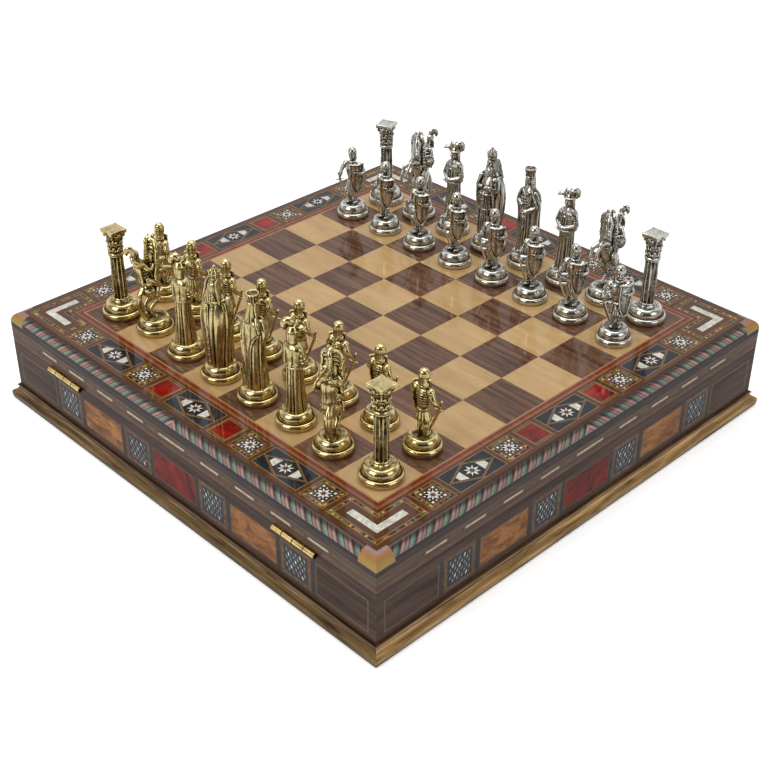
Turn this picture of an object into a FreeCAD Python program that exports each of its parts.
import FreeCAD
import Part
import math
import os

# Chess set on a marquetry games box, in millimetres. The box opens on two butt
# hinges along its X- side, the lid carries the inlaid board, and thirty-two cast
# figures stand on it. Origin at the middle of the plinth's underside, Z up.

os.makedirs("parts", exist_ok=True)
V = FreeCAD.Vector

# Board and lid
SQUARE = 38.0
FIELD_HALF = 4 * SQUARE
BOARD_TOP = 74.3
LID_HALF = 191.4
EDGE_RADIUS = 7.6
VENEER = 2.0
STRING_WIDTH = 5.7
LID_PANEL_THICK = 8.0
RAIL_THICK = 12.0
SEAM = 49.6
SEAM_HALF_GAP = 0.15
BURL_CORNER = 15.2
LINING_THICK = 1.2

# Border marquetry, measured out from the playing field
TILE_INNER = 7.4
TILE_OUTER = 29.0
STAR_TILE = 21.6
DIAMOND_TILE = 42.4
RED_TILE = 18.6
STAR_OFFSETS = (1.465 * SQUARE, 3.265 * SQUARE)
DIAMOND_OFFSET = 2.36 * SQUARE
RED_OFFSET = 0.865 * SQUARE
CORNER_ARM_END = 14.7
CHEVRON_OUTER = 20.8
CHEVRON_WIDTH = 5.2
CHEVRON_ARM_END = 5.0

# Pearl dashes along the lid rails
DASH_HEIGHT = 2.4
DASH_Z = 57.9
DASH_LENGTH = 17.6
DASH_LONG = 26.6
DASH_DEPTH = 0.8
DASH_OFFSETS = (1.045 * SQUARE, 1.96 * SQUARE, 2.86 * SQUARE, 3.745 * SQUARE)

# Box below the seam
WALL_THICK = 11.0
WALL_BOTTOM = 3.0
BASE_PANEL_BOTTOM = 3.6
BASE_PANEL_THICK = 5.0
INLAY_DEPTH = 1.5
MOSAIC_WIDTH = 27.8
MOSAIC_TOP = 43.1
MOSAIC_BOTTOM = 16.3
MOSAIC_OFFSETS = (1.065 * SQUARE, 3.19 * SQUARE)
BURL_WIDTH = 43.2
BURL_TOP = 40.8
BURL_BOTTOM = 18.9
BURL_OFFSET = 2.13 * SQUARE
RED_PANEL_WIDTH = 44.4
FRAME_INNER_END = 3.66 * SQUARE
FRAME_OUTER_END = 4.87 * SQUARE
FRAME_TOP = 42.3
FRAME_BOTTOM = 17.3
FRAME_LINE = 1.0

# Plinth moulding
PLINTH_TOP = 12.2
PLINTH_OUT = 5.5
PLINTH_FOOT = 4.75

# Hinges
BARREL_R = 1.75
PIN_R = 0.8
PIN_CLEARANCE = 0.05
AXIS_X = -LID_HALF - BARREL_R - 0.1
HINGE_LENGTH = 39.1
HINGE_Y = 122.15
KNUCKLES = 4
KNUCKLE_GAP = 0.15
LEAF_WIDTH = 8.6
LEAF_THICK = 0.9
SCREW_R = 0.9
SCREW_HEAD_R = 1.7
SCREW_LENGTH = 7.0
SCREW_SPACING = 13.0

# Chess figures
FIGURE_BASE = 11.4
PAWN_BASE_R = 13.0
BISHOP_BASE_R = 13.7
KNIGHT_BASE_R = 13.7
KING_BASE_R = 14.1
QUEEN_BASE_R = 13.9
ROOK_BASE_R = 14.5


def box(x0, x1, y0, y1, z0, z1):
    return Part.makeBox(x1 - x0, y1 - y0, z1 - z0, V(x0, y0, z0))


def turned(shape, quarter):
    copy = shape.copy()
    copy.rotate(V(0, 0, 0), V(0, 0, 1), 90 * quarter)
    return copy


def four_sides(make_side):
    solids = []
    for quarter in range(4):
        for solid in make_side():
            solids.append(turned(solid, quarter))
    return solids


def mitre_wedge():
    reach = LID_HALF + 40
    corners = [V(0, 0, -5), V(reach, -reach, -5), V(reach, reach, -5), V(0, 0, -5)]
    face = Part.Face(Part.makePolygon(corners))
    return face.extrude(V(0, 0, BOARD_TOP + 20))


WEDGE = mitre_wedge()


def moulding(points):
    # A straight moulding on the X+ side from a closed (x, z) outline, mitred
    wire = Part.makePolygon([V(x, -LID_HALF - 30, z) for x, z in points + points[:1]])
    bar = Part.Face(wire).extrude(V(0, 2 * (LID_HALF + 30), 0))
    return bar.common(WEDGE).Solids[0]


def save(name, solids):
    shape = solids[0] if len(solids) == 1 else Part.makeCompound(solids)
    for solid in shape.Solids:
        if not solid.isValid():
            print("invalid solid in", name)
    shape.exportStep("parts/" + name + ".step")
    print(name, len(shape.Solids), "solids", round(sum(s.Volume for s in shape.Solids) / 1000, 2), "cm3")


# Playing squares
def square_tile(i, j):
    x = (i - 4) * SQUARE
    y = (j - 4) * SQUARE
    return box(x, x + SQUARE, y, y + SQUARE, BOARD_TOP - VENEER, BOARD_TOP)


def playing_squares(parity):
    cells = [(i, j) for i in range(8) for j in range(8) if (i + j) % 2 == parity]
    return [square_tile(i, j) for i, j in cells]


save("light_squares", playing_squares(0))
save("dark_squares", playing_squares(1))

# Lid panel, red stringing and walnut border ground
PANEL_HALF = LID_HALF - RAIL_THICK
VENEER_BOTTOM = BOARD_TOP - VENEER
PANEL_BOTTOM = VENEER_BOTTOM - LID_PANEL_THICK
EDGE_INNER = LID_HALF - EDGE_RADIUS
STRING_OUTER = FIELD_HALF + STRING_WIDTH
save("lid_panel", [box(-PANEL_HALF, PANEL_HALF, -PANEL_HALF, PANEL_HALF, PANEL_BOTTOM, VENEER_BOTTOM)])


def string_side():
    outline = [(FIELD_HALF, VENEER_BOTTOM), (STRING_OUTER, VENEER_BOTTOM)]
    outline += [(STRING_OUTER, BOARD_TOP), (FIELD_HALF, BOARD_TOP)]
    return [moulding(outline)]


save("red_stringing", four_sides(string_side))


# Border tiles on the X+ side: five stars, three diamonds and two red tiles
def border_tile(offset, width):
    x0 = FIELD_HALF + TILE_INNER
    x1 = FIELD_HALF + TILE_OUTER
    return box(x0, x1, offset - width / 2, offset + width / 2, VENEER_BOTTOM, BOARD_TOP)


def star_side():
    return [border_tile(s * o, STAR_TILE) for o in STAR_OFFSETS for s in (-1, 1)]


def diamond_side():
    return [border_tile(o, DIAMOND_TILE) for o in (-DIAMOND_OFFSET, 0, DIAMOND_OFFSET)]


def red_side():
    return [border_tile(o, RED_TILE) for o in (-RED_OFFSET, RED_OFFSET)]


def ell(outer, inner, end, z0, z1):
    # An L on the X+ Y+ corner: outer and inner distances from the field corner
    a = FIELD_HALF + outer
    b = FIELD_HALF + inner
    e = FIELD_HALF - end
    corners = [(a, a), (e, a), (e, b), (b, b), (b, e), (a, e), (a, a)]
    face = Part.Face(Part.makePolygon([V(x, y, z0) for x, y in corners]))
    return face.extrude(V(0, 0, z1 - z0))


CORNER_TILE = ell(TILE_OUTER, TILE_INNER, CORNER_ARM_END, VENEER_BOTTOM, BOARD_TOP)
CHEVRON = ell(CHEVRON_OUTER, CHEVRON_OUTER - CHEVRON_WIDTH, CHEVRON_ARM_END, VENEER_BOTTOM, BOARD_TOP)

stars = four_sides(star_side)
diamonds = four_sides(diamond_side)
reds = four_sides(red_side)
corner_tiles = [turned(CORNER_TILE, q) for q in range(4)]
chevrons = [turned(CHEVRON, q) for q in range(4)]
border = box(-EDGE_INNER, EDGE_INNER, -EDGE_INNER, EDGE_INNER, VENEER_BOTTOM, BOARD_TOP)
field = box(-STRING_OUTER, STRING_OUTER, -STRING_OUTER, STRING_OUTER, VENEER_BOTTOM, BOARD_TOP)
border = border.cut(field)
for tile in stars + diamonds + reds + corner_tiles:
    border = border.cut(tile)
corner_grounds = [c.cut(p) for c, p in zip(corner_tiles, chevrons)]
save("border_ground", border.Solids)
save("star_tiles", stars)
save("diamond_tiles", diamonds)
save("red_tiles", reds)
save("corner_tiles", [c.Solids[0] for c in corner_grounds])
save("pearl_chevrons", chevrons)


# Striped quarter-round edge and the burl corner blocks
def quarter_round(length_from, length_to):
    z0 = BOARD_TOP - EDGE_RADIUS
    centre = V(EDGE_INNER, length_from, z0)
    top = V(EDGE_INNER, length_from, BOARD_TOP)
    side = V(LID_HALF, length_from, z0)
    half = EDGE_RADIUS * math.sqrt(0.5)
    arc = Part.Arc(top, centre + V(half, 0, half), side).toShape()
    wire = Part.Wire([Part.makeLine(centre, top), arc, Part.makeLine(side, centre)])
    return Part.Face(wire).extrude(V(0, length_to - length_from, 0))


CORNER_START = LID_HALF - BURL_CORNER
save("striped_edge", four_sides(lambda: [quarter_round(-CORNER_START, CORNER_START)]))


def burl_block():
    # The quarter round runs into the corner from both sides and meets on the mitre
    reach = box(CORNER_START, LID_HALF, CORNER_START, LID_HALF, BOARD_TOP - EDGE_RADIUS, BOARD_TOP)
    z0 = BOARD_TOP - EDGE_RADIUS
    inner = box(0, EDGE_INNER, 0, EDGE_INNER, z0 - 1, BOARD_TOP + 1)
    along = quarter_round(0, LID_HALF + 1).fuse(box(0, EDGE_INNER, 0, LID_HALF + 1, z0, BOARD_TOP))
    turned_along = along.mirror(V(0, 0, 0), V(1, -1, 0))
    return reach.common(along).common(turned_along).cut(inner).Solids[0]


save("burl_corner_blocks", [turned(burl_block(), q) for q in range(4)])


# Pearl dashes and the lid rails that hold them
def dash_side():
    x0 = LID_HALF - DASH_DEPTH
    z0 = DASH_Z - DASH_HEIGHT / 2
    z1 = DASH_Z + DASH_HEIGHT / 2
    dashes = [box(x0, LID_HALF, -DASH_LONG / 2, DASH_LONG / 2, z0, z1)]
    for offset in DASH_OFFSETS:
        for y in (-offset, offset):
            dashes.append(box(x0, LID_HALF, y - DASH_LENGTH / 2, y + DASH_LENGTH / 2, z0, z1))
    return dashes


dashes = four_sides(dash_side)
save("pearl_dashes", dashes)

RAIL_INNER = LID_HALF - RAIL_THICK
RAIL_BOTTOM = SEAM + SEAM_HALF_GAP
RAIL_STEP = BOARD_TOP - EDGE_RADIUS
rail_outline = [(RAIL_INNER, RAIL_BOTTOM), (LID_HALF, RAIL_BOTTOM), (LID_HALF, RAIL_STEP)]
rail_outline += [(EDGE_INNER, RAIL_STEP), (EDGE_INNER, VENEER_BOTTOM), (RAIL_INNER, VENEER_BOTTOM)]
rail = moulding(rail_outline)
for dash in dash_side():
    rail = rail.cut(dash)
rails = [turned(rail.Solids[0], q) for q in range(4)]


# Hinge leaves, pins and screws on the X- side
def screw_points():
    x = -LID_HALF + 0.5 * LEAF_WIDTH
    return [(x, side * HINGE_Y + step * SCREW_SPACING) for side in (-1, 1) for step in (-1, 0, 1)]


def screw(x, y, up, extra=0.0):
    # A countersunk wood screw driven away from the seam, up = 1 into the lid
    face = SEAM + up * SEAM_HALF_GAP
    axis = V(0, 0, up)
    sink = SCREW_HEAD_R - SCREW_R
    head = Part.makeCone(SCREW_HEAD_R + extra, SCREW_R + extra, sink, V(x, y, face), axis)
    shank = Part.makeCylinder(SCREW_R + extra, SCREW_LENGTH + extra, V(x, y, face), axis)
    return head.fuse(shank).removeSplitter().Solids[0]


def leaf_plate(y_middle, up, extra=0.0):
    y0 = y_middle - HINGE_LENGTH / 2 - extra
    y1 = y_middle + HINGE_LENGTH / 2 + extra
    z = SEAM + up * SEAM_HALF_GAP
    z_far = z + up * (LEAF_THICK + extra)
    x1 = -LID_HALF + LEAF_WIDTH + extra
    return box(-LID_HALF - extra, x1, y0, y1, min(z, z_far), max(z, z_far))


def hinge_leaf(y_middle, up):
    pitch = HINGE_LENGTH / KNUCKLES
    plate = leaf_plate(y_middle, up)
    for x, y in screw_points():
        if abs(y - y_middle) < HINGE_LENGTH:
            plate = plate.cut(screw(x, y, up, 0.05))
    leaf = plate
    for index in range(KNUCKLES):
        owner = 1 if index % 2 else -1
        if owner != up:
            continue
        y0 = y_middle - HINGE_LENGTH / 2 + index * pitch + KNUCKLE_GAP / 2
        length = pitch - KNUCKLE_GAP
        knuckle = Part.makeCylinder(BARREL_R, length, V(AXIS_X, y0, SEAM), V(0, 1, 0))
        z = SEAM + up * SEAM_HALF_GAP
        z_far = z + up * LEAF_THICK
        neck = box(AXIS_X, -LID_HALF + 0.5, y0, y0 + length, min(z, z_far), max(z, z_far))
        leaf = leaf.fuse(neck).fuse(knuckle)
    radius = PIN_R + (PIN_CLEARANCE if up > 0 else 0.0)
    bore = Part.makeCylinder(radius, HINGE_LENGTH + 2, V(AXIS_X, y_middle - HINGE_LENGTH / 2 - 1, SEAM), V(0, 1, 0))
    return leaf.cut(bore).removeSplitter().Solids[0]


HINGE_MIDDLES = (-HINGE_Y, HINGE_Y)
save("hinge_leaves_box", [hinge_leaf(y, -1) for y in HINGE_MIDDLES])
save("hinge_leaves_lid", [hinge_leaf(y, 1) for y in HINGE_MIDDLES])


def hinge_pin(y_middle):
    start = V(AXIS_X, y_middle - HINGE_LENGTH / 2, SEAM)
    return Part.makeCylinder(PIN_R, HINGE_LENGTH, start, V(0, 1, 0))


save("hinge_pins", [hinge_pin(y) for y in HINGE_MIDDLES])
save("hinge_screws_box", [screw(x, y, -1) for x, y in screw_points()])
save("hinge_screws_lid", [screw(x, y, 1) for x, y in screw_points()])

hinge_rail = rails[2]
for y in HINGE_MIDDLES:
    hinge_rail = hinge_rail.cut(leaf_plate(y, 1, 0.05))
for x, y in screw_points():
    hinge_rail = hinge_rail.cut(screw(x, y, 1, 0.05))
rails[2] = hinge_rail.Solids[0]
save("lid_rails", rails)
lining_half = PANEL_HALF - 0.5
lining_z = PANEL_BOTTOM - LINING_THICK
save("lid_lining", [box(-lining_half, lining_half, -lining_half, lining_half, lining_z, PANEL_BOTTOM)])


# Inlays in the box's sides
def side_panel(offset, width, z0, z1):
    return box(LID_HALF - INLAY_DEPTH, LID_HALF, offset - width / 2, offset + width / 2, z0, z1)


def mosaic_side():
    offsets = [s * o for o in MOSAIC_OFFSETS for s in (-1, 1)]
    return [side_panel(o, MOSAIC_WIDTH, MOSAIC_BOTTOM, MOSAIC_TOP) for o in offsets]


def burl_side():
    return [side_panel(o, BURL_WIDTH, BURL_BOTTOM, BURL_TOP) for o in (-BURL_OFFSET, BURL_OFFSET)]


def red_panel_side():
    return [side_panel(0, RED_PANEL_WIDTH, BURL_BOTTOM, BURL_TOP)]


def frame_side():
    middle = (FRAME_INNER_END + FRAME_OUTER_END) / 2
    width = FRAME_OUTER_END - FRAME_INNER_END
    frames = []
    for offset in (-middle, middle):
        outer = side_panel(offset, width, FRAME_BOTTOM, FRAME_TOP)
        inner = side_panel(offset, width - 2 * FRAME_LINE, FRAME_BOTTOM + FRAME_LINE, FRAME_TOP - FRAME_LINE)
        frames.append(outer.cut(inner).Solids[0])
    return frames


save("side_mosaics", four_sides(mosaic_side))
save("side_burl_panels", four_sides(burl_side))
save("side_red_panels", four_sides(red_panel_side))
save("side_string_frames", four_sides(frame_side))

WALL_TOP = SEAM - SEAM_HALF_GAP
WALL_INNER = LID_HALF - WALL_THICK
wall_outline = [(WALL_INNER, WALL_BOTTOM), (LID_HALF, WALL_BOTTOM)]
wall_outline += [(LID_HALF, WALL_TOP), (WALL_INNER, WALL_TOP)]
wall = moulding(wall_outline)
for inlay in mosaic_side() + burl_side() + red_panel_side() + frame_side():
    wall = wall.cut(inlay)
walls = [turned(wall.Solids[0], q) for q in range(4)]
hinge_wall = walls[2]
for y in HINGE_MIDDLES:
    hinge_wall = hinge_wall.cut(leaf_plate(y, -1, 0.05))
for x, y in screw_points():
    hinge_wall = hinge_wall.cut(screw(x, y, -1, 0.05))
walls[2] = hinge_wall.Solids[0]
save("box_walls", walls)

panel_top = BASE_PANEL_BOTTOM + BASE_PANEL_THICK
save("base_panel", [box(-WALL_INNER, WALL_INNER, -WALL_INNER, WALL_INNER, BASE_PANEL_BOTTOM, panel_top)])
felt_half = WALL_INNER - 0.4
save("floor_lining", [box(-felt_half, felt_half, -felt_half, felt_half, panel_top, panel_top + LINING_THICK)])


# Plinth: a foot under the walls, a nose, a cove and a small bead on top
def plinth_side():
    cove = []
    for step in range(7):
        angle = math.radians(90 * step / 6)
        cove.append((LID_HALF + 1.2 + 3.6 * (1 - math.sin(angle)), 6.6 + 3.6 * (1 - math.cos(angle))))
    nose = [(LID_HALF + PLINTH_FOOT, 0.0), (LID_HALF + PLINTH_OUT - 0.2, 1.6)]
    nose += [(LID_HALF + PLINTH_OUT, 3.2), (LID_HALF + PLINTH_OUT, 5.2), (LID_HALF + PLINTH_OUT - 0.3, 6.2)]
    bead = [(LID_HALF + 1.2, 10.5), (LID_HALF + 1.8, 10.8), (LID_HALF + 2.0, 11.4)]
    bead += [(LID_HALF + 1.7, 12.0), (LID_HALF + 1.2, PLINTH_TOP)]
    back = [(LID_HALF, PLINTH_TOP), (LID_HALF, WALL_BOTTOM), (WALL_INNER, WALL_BOTTOM), (WALL_INNER, 0.0)]
    return [moulding(nose + cove + bead + back)]


save("plinth_mouldings", four_sides(plinth_side))


# Shapes that the figures are built from
def ring(z, cx, cy, rx, ry, folds=0, depth=0.0):
    count = max(16, 4 * folds)
    points = []
    for k in range(count):
        angle = 2 * math.pi * k / count
        swell = 1 + depth * math.cos(folds * angle)
        points.append(V(cx + rx * swell * math.cos(angle), cy + ry * swell * math.sin(angle), z))
    curve = Part.BSplineCurve()
    curve.interpolate(points, PeriodicFlag=True)
    return Part.Wire([curve.toShape()])


def draped(sections, folds=0):
    # sections: (z, cx, cy, rx, ry, fold depth)
    wires = [ring(z, cx, cy, rx, ry, folds, depth) for z, cx, cy, rx, ry, depth in sections]
    return Part.makeLoft(wires, True, True)


def ball(x, y, z, r):
    return Part.makeSphere(r, V(x, y, z))


def oval(x, y, z, rx, ry, rz):
    sphere = Part.makeSphere(1.0)
    matrix = FreeCAD.Matrix()
    matrix.scale(rx, ry, rz)
    matrix.move(V(x, y, z))
    return sphere.transformGeometry(matrix)


def limb(points, radii):
    # A chain of tapered rods with a ball at every joint
    shapes = [ball(*points[0], radii[0])]
    for (a, b), (ra, rb) in zip(zip(points, points[1:]), zip(radii, radii[1:])):
        start = V(*a)
        along = V(*b) - start
        if abs(ra - rb) < 0.01:
            shapes.append(Part.makeCylinder(ra, along.Length, start, along))
        else:
            shapes.append(Part.makeCone(ra, rb, along.Length, start, along))
        shapes.append(ball(*b, rb))
    return shapes


def turning(outline):
    wire = Part.makePolygon([V(r, 0, z) for r, z in outline + outline[:1]])
    return Part.Face(wire).revolve(V(0, 0, 0), V(0, 0, 1), 360)


def stand(radius):
    # A rounded foot, a groove and a drum with a softened rim
    outline = [(0, 0), (radius - 1.7, 0)]
    for step in range(1, 8):
        angle = math.radians(-90 + 180 * step / 8)
        outline.append((radius - 1.7 + 1.7 * math.cos(angle), 2.6 + 2.6 * math.sin(angle)))
    outline += [(radius - 1.7, 5.2), (radius * 0.83, 5.2), (radius * 0.81, 5.6), (radius * 0.815, 9.0)]
    outline += [(radius * 0.795, 10.2), (radius * 0.75, 11.0), (radius * 0.69, FIGURE_BASE), (0, FIGURE_BASE)]
    return turning(outline)


def joined(shapes):
    # Fused in small handfuls, and one at a time where a handful will not take
    whole = shapes[0]
    for first in range(1, len(shapes), 8):
        handful = shapes[first:first + 8]
        fused = whole.multiFuse(handful)
        if len(fused.Solids) != 1 or not fused.isValid() or fused.Volume < whole.Volume:
            fused = whole
            for shape in handful:
                fused = fused.fuse(shape)
        whole = fused
    print("   fused", len(shapes), "pieces into", len(whole.Solids), "valid", whole.isValid())
    return whole.Solids[0]


SINK = 0.6


def rook():
    foot = FIGURE_BASE - SINK
    shaft_top = 48.2
    pieces = [stand(ROOK_BASE_R)]
    pieces.append(turning([(0, foot), (6.3, foot), (6.5, 12.4), (6.1, 13.4), (5.4, 13.8), (0, 13.8)]))
    pieces.append(draped([(13.4, 0, 0, 4.9, 4.9, 0.055), (shaft_top, 0, 0, 4.45, 4.45, 0.055)], 16))
    bell = [(0, 47.6), (5.0, 47.6), (5.5, 48.4), (5.5, 49.6), (5.0, 50.4), (4.7, 51.4), (4.9, 56.0)]
    bell += [(5.6, 60.5), (6.9, 64.2), (6.9, 65.4), (0, 65.4)]
    pieces.append(turning(bell))
    for row, (count, z, r, lean) in enumerate(((8, 54.6, 5.3, 1.5), (8, 59.6, 5.7, 1.8))):
        for k in range(count):
            angle = 2 * math.pi * (k + 0.5 * row) / count
            c = math.cos(angle)
            s = math.sin(angle)
            tip = r + lean
            points = [(r * c * 0.86, r * s * 0.86, z - 3.2), (r * c, r * s, z), (tip * c, tip * s, z + 1.0)]
            pieces += limb(points, [1.3, 1.25, 0.75])
    half = 6.8
    hollow = 0.9
    corner = 0.9
    outline = []
    for k in range(4):
        angle = math.radians(90 * k)
        c = math.cos(angle)
        s = math.sin(angle)
        for x, y in ((half, -half + corner), (half - hollow, 0.0), (half, half - corner)):
            outline.append((x * c - y * s, x * s + y * c))
    edges = []
    for k in range(4):
        a = outline[3 * k]
        m = outline[3 * k + 1]
        b = outline[3 * k + 2]
        n = outline[(3 * k + 3) % 12]
        edges.append(Part.Arc(V(a[0], a[1], 65.2), V(m[0], m[1], 65.2), V(b[0], b[1], 65.2)).toShape())
        edges.append(Part.makeLine(V(b[0], b[1], 65.2), V(n[0], n[1], 65.2)))
    pieces.append(Part.Face(Part.Wire(edges)).extrude(V(0, 0, 3.2)))
    for k in range(4):
        angle = math.radians(45 + 90 * k)
        pieces.append(ball(7.4 * math.cos(angle), 7.4 * math.sin(angle), 64.2, 1.5))
    return joined(pieces)


def heater_shield(width, height, thick, bulge):
    # Outline in the YZ plane, top edge at z = 0, facing X+, bent round the arm
    w = width / 2
    top = [V(0, -w, 0), V(0, w, 0)]
    right = Part.Arc(V(0, w, -height * 0.35), V(0, w * 0.74, -height * 0.7), V(0, 0, -height)).toShape()
    left = Part.Arc(V(0, 0, -height), V(0, -w * 0.74, -height * 0.7), V(0, -w, -height * 0.35)).toShape()
    edges = [Part.makeLine(top[0], top[1]), Part.makeLine(top[1], V(0, w, -height * 0.35)), right, left]
    edges.append(Part.makeLine(V(0, -w, -height * 0.35), top[0]))
    plate = Part.Face(Part.Wire(edges)).extrude(V(12, 0, 0))
    plate.translate(V(-8, 0, 0))
    radius = (w * w + bulge * bulge) / (2 * bulge)
    centre = V(-radius, 0, -height - 1)
    outer = Part.makeCylinder(radius, height + 2, centre, V(0, 0, 1))
    inner = Part.makeCylinder(radius - thick, height + 2, centre, V(0, 0, 1))
    return plate.common(outer.cut(inner)).Solids[0]


def pawn():
    foot = FIGURE_BASE - SINK
    pieces = [stand(PAWN_BASE_R)]
    for side in (-1, 1):
        pieces += limb([(-0.2, side * 2.6, foot + 0.8), (0.3, side * 2.3, 18.5), (0.0, side * 1.7, 26.0)], [1.5, 1.8, 2.4])
        pieces.append(oval(1.2, side * 2.8, 12.0, 3.0, 1.6, 1.5))
    tunic = [(22.4, 0, 0, 4.1, 4.7, 0.05), (26.5, 0, 0, 3.8, 4.4, 0.03), (30.6, 0, 0, 3.1, 3.8, 0.0)]
    tunic += [(36.0, 0, 0, 3.6, 4.6, 0.0), (42.0, 0, 0, 3.9, 5.5, 0.0), (45.6, 0, 0, 3.0, 4.6, 0.0), (47.8, 0, 0, 1.9, 2.1, 0.0)]
    pieces.append(draped(tunic, 8))
    pieces += limb([(0, 0, 46.0), (0.1, 0, 50.4)], [2.0, 1.8])
    pieces.append(oval(0.3, 0, 54.2, 3.75, 3.5, 4.7))
    pieces += limb([(0, -5.0, 44.4), (-0.4, -8.0, 39.2), (3.6, -9.4, 34.0)], [2.1, 1.7, 1.35])
    pieces.append(ball(3.9, -9.6, 33.7, 1.75))
    pieces += limb([(4.6, -10.2, 35.8), (3.9, -9.4, 33.0), (2.4, -2.6, 13.8)], [0.8, 0.95, 0.6])
    pieces += limb([(5.0, -11.6, 31.4), (2.6, -7.0, 32.4)], [0.6, 0.6])
    pieces += limb([(0, 5.0, 44.4), (1.0, 8.2, 39.6), (4.0, 8.6, 37.4)], [2.1, 1.8, 1.6])
    shield = heater_shield(12.4, 25.4, 1.3, 1.6)
    shield.rotate(V(0, 0, 0), V(0, 1, 0), 4)
    shield.rotate(V(0, 0, 0), V(0, 0, 1), 42)
    shield.translate(V(6.2, 9.9, 46.6))
    pieces.append(shield)
    pieces += limb([(3.6, 8.2, 38.0), (5.6, 9.6, 38.6)], [1.7, 1.2])
    return joined(pieces)


def bishop():
    foot = FIGURE_BASE - SINK
    pieces = [stand(BISHOP_BASE_R)]
    gown = [(foot, 0.2, 0, 6.0, 6.9, 0.07), (20, 0.1, 0, 5.5, 6.3, 0.07), (32, 0, 0, 5.2, 6.0, 0.05)]
    gown += [(42, 0, 0, 4.9, 6.0, 0.03), (50, 0, 0, 5.0, 6.9, 0.0), (56.5, -0.2, 0, 4.4, 6.9, 0.0)]
    gown += [(60.0, -0.2, 0, 3.0, 4.2, 0.0), (62.4, 0, 0, 2.2, 2.4, 0.0)]
    pieces.append(draped(gown, 11))
    for side in (-1, 1):
        pieces += limb([(-0.2, side * 6.0, 56.4), (0.6, side * 8.0, 48.6), (5.4, side * 2.2, 46.4)], [2.4, 2.7, 2.2])
        pieces += limb([(0.8, side * 7.6, 47.2), (2.6, side * 5.6, 42.6)], [2.2, 1.2])
    pieces.append(ball(6.4, 0, 46.8, 1.9))
    pieces.append(oval(0.5, 0, 65.6, 3.5, 3.3, 4.6))
    pieces.append(oval(-0.4, 0, 68.0, 4.1, 4.2, 4.1))
    pieces += limb([(0.6, -2.2, 70.2), (2.4, -5.0, 71.8), (4.2, -7.6, 71.0), (4.9, -9.0, 69.8)], [2.0, 1.8, 1.9, 0.9])
    pieces += limb([(1.0, -1.4, 71.0), (1.6, -2.4, 74.0), (2.0, -3.0, 77.2)], [1.8, 1.3, 0.5])
    curl = [(-0.4, 1.0, 71.0), (-0.6, 1.2, 75.2), (-2.0, 2.6, 76.9), (-3.8, 4.4, 75.2), (-4.2, 4.9, 71.6), (-3.4, 4.3, 68.6)]
    pieces += limb(curl, [2.2, 1.8, 1.6, 1.6, 1.5, 1.1])
    return joined(pieces)


def king():
    foot = FIGURE_BASE - SINK
    pieces = [stand(KING_BASE_R)]
    cape = [(foot, -1.2, 0, 6.6, 8.0, 0.06), (20, -1.4, 0, 6.8, 8.4, 0.05), (30, -1.4, 0, 7.8, 10.2, 0.04)]
    cape += [(40, -1.2, 0, 8.8, 11.9, 0.03), (48, -1.0, 0, 8.8, 12.1, 0.02), (55, -0.8, 0, 7.6, 10.8, 0.01)]
    cape += [(61, -0.6, 0, 5.9, 8.4, 0.0), (65.4, -0.4, 0, 4.2, 5.6, 0.0), (67.6, -0.2, 0, 2.6, 3.0, 0.0)]
    pieces.append(draped(cape, 13))
    robe = [(foot, 3.0, 0, 4.6, 5.4, 0.06), (24, 3.2, 0, 4.5, 5.0, 0.06), (40, 3.6, 0, 5.0, 5.4, 0.03)]
    robe += [(52, 2.6, 0, 5.4, 6.2, 0.0), (62, 1.0, 0, 4.2, 5.6, 0.0), (66, 0.2, 0, 2.4, 3.0, 0.0)]
    pieces.append(draped(robe, 9))
    for side in (-1, 1):
        pieces += limb([(0.6, side * 7.6, 59.0), (2.6, side * 10.0, 48.6), (7.8, side * 4.0, 47.0)], [2.8, 2.6, 1.9])
        pieces.append(ball(8.6, side * 2.6, 47.4, 1.9))
    pieces.append(oval(0.6, 0, 71.6, 3.5, 3.3, 5.0))
    pieces.append(oval(2.7, 0, 66.8, 2.2, 2.5, 4.0))
    pieces.append(oval(-1.4, 0, 69.4, 3.4, 3.9, 5.2))
    crown = [(0, 75.2), (3.5, 75.2), (3.7, 76.2), (3.6, 77.0), (4.3, 79.6), (3.5, 79.6), (2.6, 80.6), (1.3, 81.8)]
    crown += [(0.6, 82.4), (0, 82.4)]
    pieces.append(turning(crown))
    for k in range(8):
        angle = 2 * math.pi * k / 8
        pieces.append(ball(3.8 * math.cos(angle), 3.8 * math.sin(angle), 79.9, 0.85))
    pieces.append(ball(0, 0, 83.2, 1.2))
    return joined(pieces)


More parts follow.
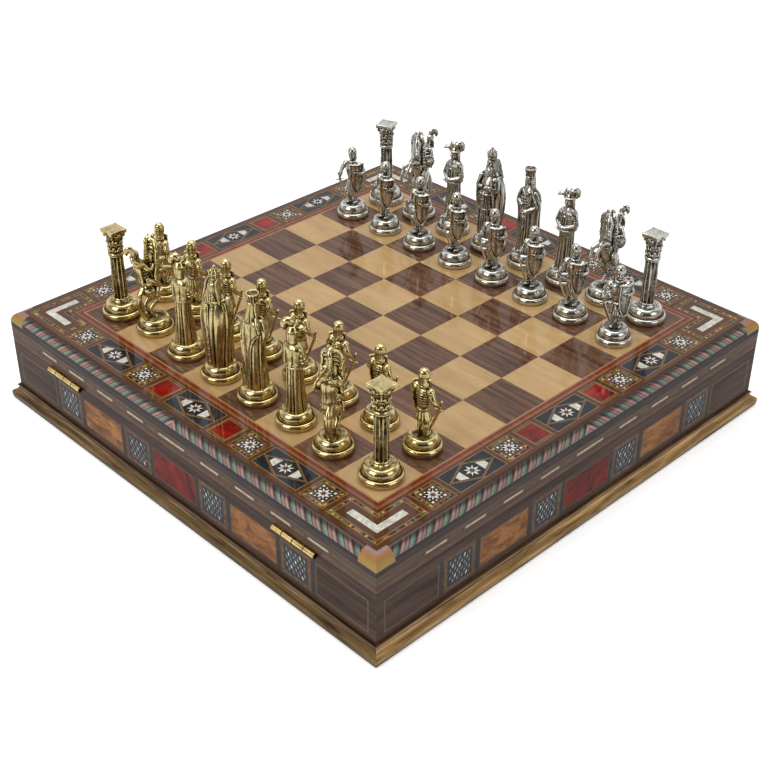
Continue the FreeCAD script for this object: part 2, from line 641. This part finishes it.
def queen():
    foot = FIGURE_BASE - SINK
    pieces = [stand(QUEEN_BASE_R)]
    gown = [(foot, 1.0, 0, 6.0, 6.6, 0.08), (24, 1.0, 0, 5.2, 5.8, 0.07), (38, 0.9, 0, 4.3, 5.0, 0.04)]
    gown += [(47, 0.7, 0, 3.6, 4.4, 0.01), (54, 0.9, 0, 4.4, 5.2, 0.0), (60, 0.3, 0, 3.8, 6.0, 0.0)]
    gown += [(63.6, 0, 0, 2.6, 4.2, 0.0), (66.4, 0, 0, 1.9, 2.1, 0.0)]
    pieces.append(draped(gown, 11))
    cape = [(foot, -3.2, -0.6, 4.4, 8.0, 0.06), (26, -3.2, -0.8, 4.2, 8.0, 0.05), (42, -3.0, -0.8, 4.0, 8.0, 0.04)]
    cape += [(54, -2.6, -0.6, 4.0, 8.2, 0.02), (60, -1.8, -0.2, 3.6, 7.2, 0.0), (65, -0.8, 0, 2.6, 3.6, 0.0)]
    pieces.append(draped(cape, 10))
    pieces += limb([(-0.4, 6.2, 60.6), (-3.0, 10.4, 50.0), (4.4, 3.8, 47.4)], [2.3, 2.2, 1.6])
    pieces.append(ball(4.9, 3.2, 47.2, 1.7))
    pieces += limb([(-0.4, -6.2, 60.6), (-0.6, -8.6, 52.6), (4.8, -2.6, 51.6)], [2.3, 2.2, 1.6])
    pieces.append(ball(5.2, -1.8, 51.8, 1.7))
    pieces.append(oval(0.4, 0, 70.2, 3.2, 3.1, 4.3))
    pieces.append(oval(-1.7, 0, 68.6, 3.0, 3.7, 5.2))
    pieces.append(turning([(0, 72.0), (3.5, 72.0), (3.45, 73.2), (3.7, 77.8), (4.1, 79.0), (4.1, 79.6), (0, 79.6)]))
    return joined(pieces)


def knight():
    foot = FIGURE_BASE - SINK
    pieces = [stand(KNIGHT_BASE_R)]
    for side in (-1, 1):
        hind = [(-0.5, side * 3.4, foot + 0.6), (-4.6, side * 3.2, 19.0), (0.6, side * 3.6, 27.0), (-2.4, side * 2.4, 33.0)]
        pieces += limb(hind, [1.7, 1.5, 2.9, 4.4])
    pieces.append(oval(-2.6, 0, 34.0, 6.0, 5.4, 6.6))
    pieces += limb([(-2.0, 0, 35.0), (2.6, 0, 45.0)], [5.4, 5.2])
    pieces.append(oval(4.2, 0, 47.0, 4.8, 4.8, 6.2))
    pieces += limb([(6.0, 2.6, 48.6), (13.6, 3.4, 50.4), (18.2, 3.2, 42.8)], [2.8, 1.7, 1.4])
    pieces += limb([(6.0, -2.6, 46.8), (13.4, -3.6, 45.8), (17.0, -3.2, 37.8)], [2.8, 1.7, 1.4])
    pieces += limb([(4.2, 0, 49.0), (3.2, 0.6, 61.0), (4.0, 1.2, 68.8)], [4.8, 4.2, 3.4])
    pieces += limb([(4.4, 1.8, 69.6), (7.4, 4.6, 62.6), (9.2, 6.4, 56.4)], [3.4, 2.8, 2.0])
    pieces.append(oval(2.2, 0.6, 62.6, 5.0, 6.2, 10.0))
    for side in (-1, 1):
        ear = V(4.0 - 1.4 * side, 1.6 + 1.4 * side, 71.6)
        pieces.append(Part.makeCone(1.2, 0.35, 3.1, ear, V(0, 0, 1)))
    pieces += limb([(-7.6, 0, 35.6), (-11.2, 0, 29.0), (-10.2, 0, 19.6), (-6.6, 0, 12.0)], [2.1, 2.3, 1.9, 1.5])
    pieces += limb([(-4.6, 0, 43.0), (-7.6, 0, 55.6)], [3.9, 3.7])
    pieces += limb([(-8.0, 0, 57.0), (-9.8, 0, 60.6)], [2.2, 2.0])
    pieces.append(ball(-10.8, 0, 63.4, 3.1))
    for side in (-1, 1):
        pieces += limb([(-4.6, side * 3.4, 42.6), (1.6, side * 6.0, 38.0), (-0.6, side * 6.4, 29.6)], [2.4, 2.0, 1.4])
    crest = [(-12.0, 0, 66.2), (-14.4, 0, 70.4), (-15.6, 0, 72.0), (-17.0, 0, 69.0), (-16.8, 0, 65.0), (-14.8, 0, 61.6)]
    pieces += limb(crest, [1.1, 1.2, 1.1, 1.4, 1.4, 1.0])
    pieces += limb([(-7.8, 3.4, 56.0), (-6.4, 7.0, 51.0), (-2.2, 6.6, 49.4)], [2.1, 1.8, 1.5])
    shield = Part.makeCylinder(5.2, 1.5, V(-2.4, 7.0, 49.0), V(0.4, 0.9, 0.1))
    pieces.append(shield)
    pieces += limb([(-1.8, 5.8, 49.2), (-2.2, 7.6, 49.2)], [1.6, 1.6])
    pieces += limb([(-7.8, -3.4, 56.0), (-5.0, -7.2, 51.6), (1.4, -4.6, 54.0)], [2.1, 1.8, 1.6])
    return joined(pieces)


FIGURES = {"rook": rook(), "knight": knight(), "bishop": bishop(), "queen": queen(), "king": king(), "pawn": pawn()}

# Back rank order along Y. Each man is (kind, name).
BACK_RANK = (("rook", "near_rook"), ("knight", "near_knight"), ("bishop", "near_bishop"), ("queen", "queen"),
             ("king", "king"), ("bishop", "far_bishop"), ("knight", "far_knight"), ("rook", "far_rook"))

# The men were set down by hand: turn in degrees, then shifts along X and Y
SET_DOWN = {
    "gold_near_rook": (0, -1.1, -3.4),
    "gold_near_knight": (35, -2.6, 0.0),
    "gold_far_knight": (0, 3.8, 3.0),
    "silver_far_rook": (20, 0.0, 0.0),
    "silver_pawn_1": (40, -2.3, -2.6),
    "silver_pawn_2": (16, 0.0, 0.0),
    "silver_pawn_4": (12, 0.0, 0.0),
    "silver_pawn_8": (24, 0.0, 0.0),
}


def set_man(name, kind, column, row, heading):
    turn, dx, dy = SET_DOWN.get(name, (0, 0.0, 0.0))
    man = FIGURES[kind].copy()
    man.rotate(V(0, 0, 0), V(0, 0, 1), heading + turn)
    man.translate(V((column - 3.5) * SQUARE + dx, (row - 3.5) * SQUARE + dy, BOARD_TOP))
    save(name, [man])


for row, (kind, name) in enumerate(BACK_RANK):
    set_man("gold_" + name, kind, 0, row, 0)
    set_man("silver_" + name, kind, 7, row, 180)
    set_man("gold_pawn_" + str(row + 1), "pawn", 1, row, 0)
    set_man("silver_pawn_" + str(row + 1), "pawn", 6, row, 180)
